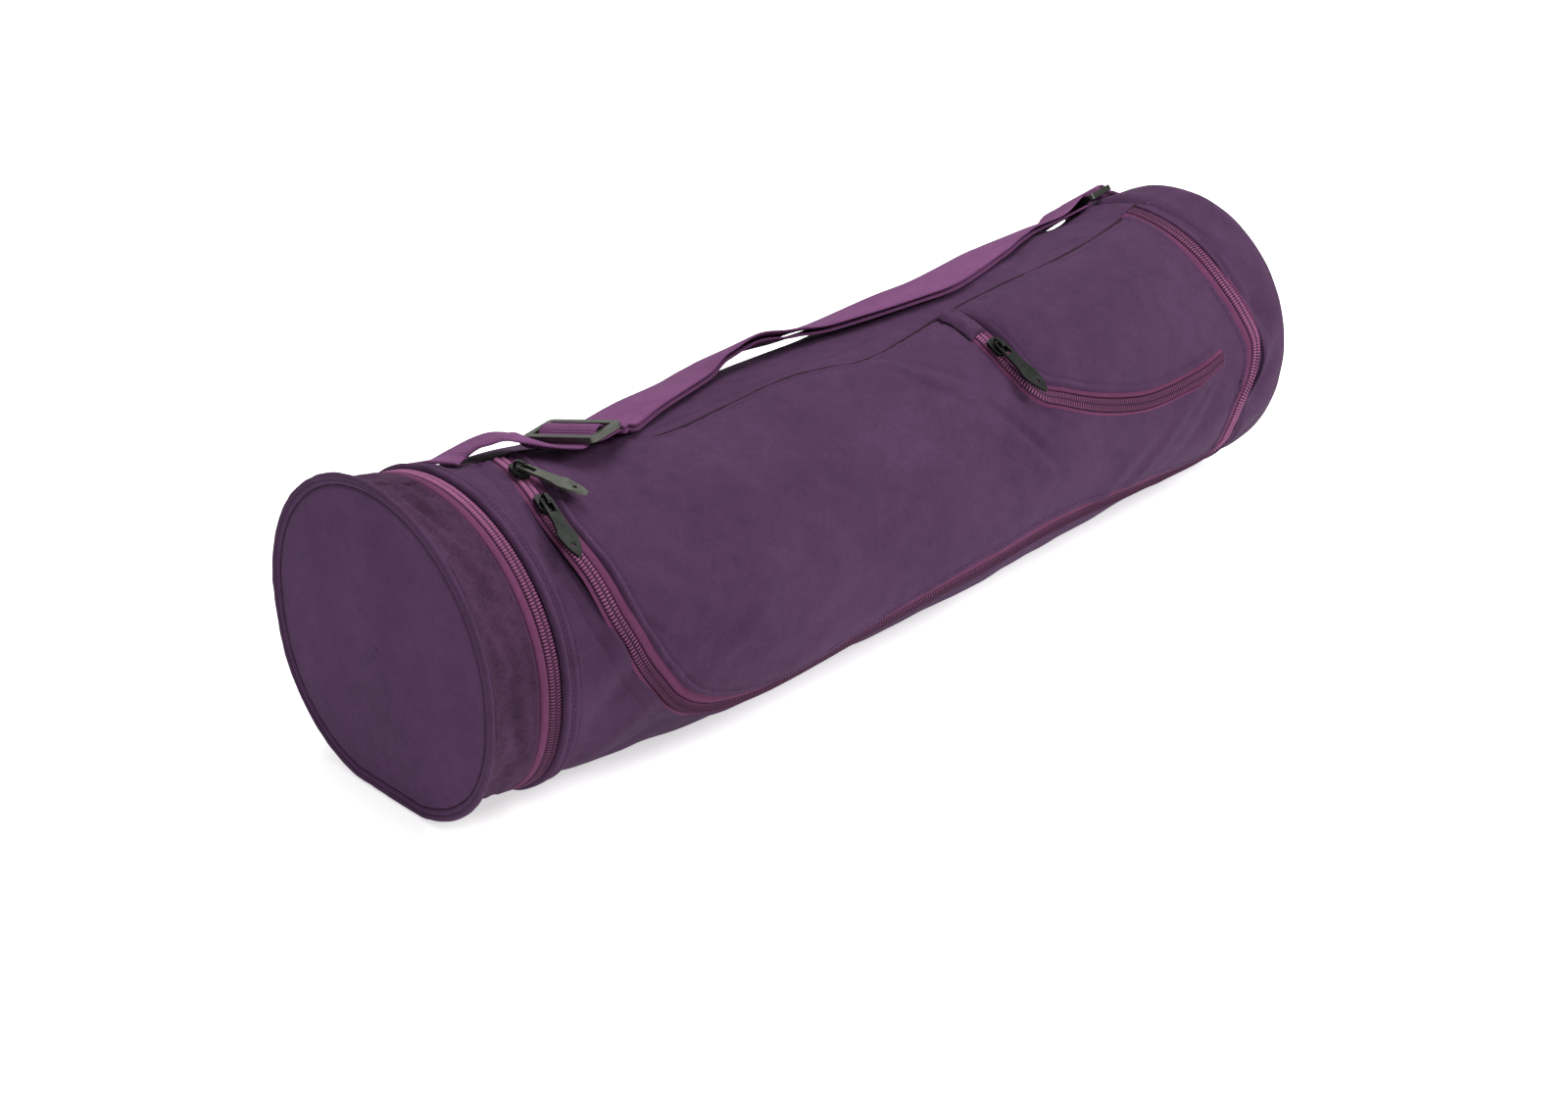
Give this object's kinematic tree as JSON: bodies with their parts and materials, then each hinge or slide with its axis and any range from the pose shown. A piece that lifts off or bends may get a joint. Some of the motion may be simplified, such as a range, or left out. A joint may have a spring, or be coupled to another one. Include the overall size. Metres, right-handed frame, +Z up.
{
  "type": "yoga mat bag",
  "caption": "Zipped tube bag for a rolled exercise mat, lying on its side, with a round zipped lid, a large front pocket, a smaller crescent pocket and an adjustable webbing shoulder strap.",
  "frame": {"origin": "on the ground under the middle of the bag, on the flat face that it rests on", "axes": "+X along the bag, from the lid at -X to the closed far end at +X; +Z up; -Y is the front with both pockets"},
  "size_m": [0.6899, 0.2193, 0.1938],
  "materials": {
    "bag_fabric": "matte brushed cotton twill, dark aubergine",
    "zip_fabric": "woven tape and coil, reddish plum",
    "webbing": "ribbed webbing, brighter purple",
    "buckle_metal": "gunmetal plated, satin gloss",
    "zip_metal": "black nickel plated, glossy"
  },
  "bodies": {
    "root": {"lid_disc": "bag_fabric", "lid_piping": "bag_fabric", "lid_band": "bag_fabric", "lid_zip_tape": "zip_fabric", "lid_zip_teeth": "zip_fabric", "lid_slider": "zip_metal", "zip_flap": "bag_fabric", "main_tube": "bag_fabric", "far_end": "bag_fabric", "front_pocket": "bag_fabric", "pocket_zip_tape": "zip_fabric", "pocket_zip_teeth": "zip_fabric", "small_pocket": "bag_fabric", "small_zip_tape": "zip_fabric", "small_zip_teeth": "zip_fabric", "zip_garage": "bag_fabric", "pocket_slider_upper": "zip_metal", "pocket_slider_lower": "zip_metal", "small_slider": "zip_metal", "tri_glide": "buckle_metal", "strap_ring": "buckle_metal", "shoulder_strap": "webbing", "ring_tab": "webbing"},
    "upper_tab": {"pocket_tab_upper": "zip_metal"},
    "lower_tab": {"pocket_tab_lower": "zip_metal"},
    "small_pocket_tab": {"small_tab": "zip_metal"}
  },
  "joints": [
    {"name": "upper_tab_lift", "type": "hinge", "parent": "root", "child": "upper_tab", "pos_m": [-0.25473, -0.01723, 0.18008], "axis": [-0.922, -0.3851, 0.0393], "range_deg": [0, 140]},
    {"name": "lower_tab_lift", "type": "hinge", "parent": "root", "child": "lower_tab", "pos_m": [-0.26195, -0.04739, 0.17247], "axis": [-0.9759, 0.1435, 0.1644], "range_deg": [0, 140]},
    {"name": "small_tab_lift", "type": "hinge", "parent": "root", "child": "small_pocket_tab", "pos_m": [0.07928, -0.06533, 0.17034], "axis": [-0.9918, -0.0649, -0.1103], "range_deg": [0, 140]}
  ]
}
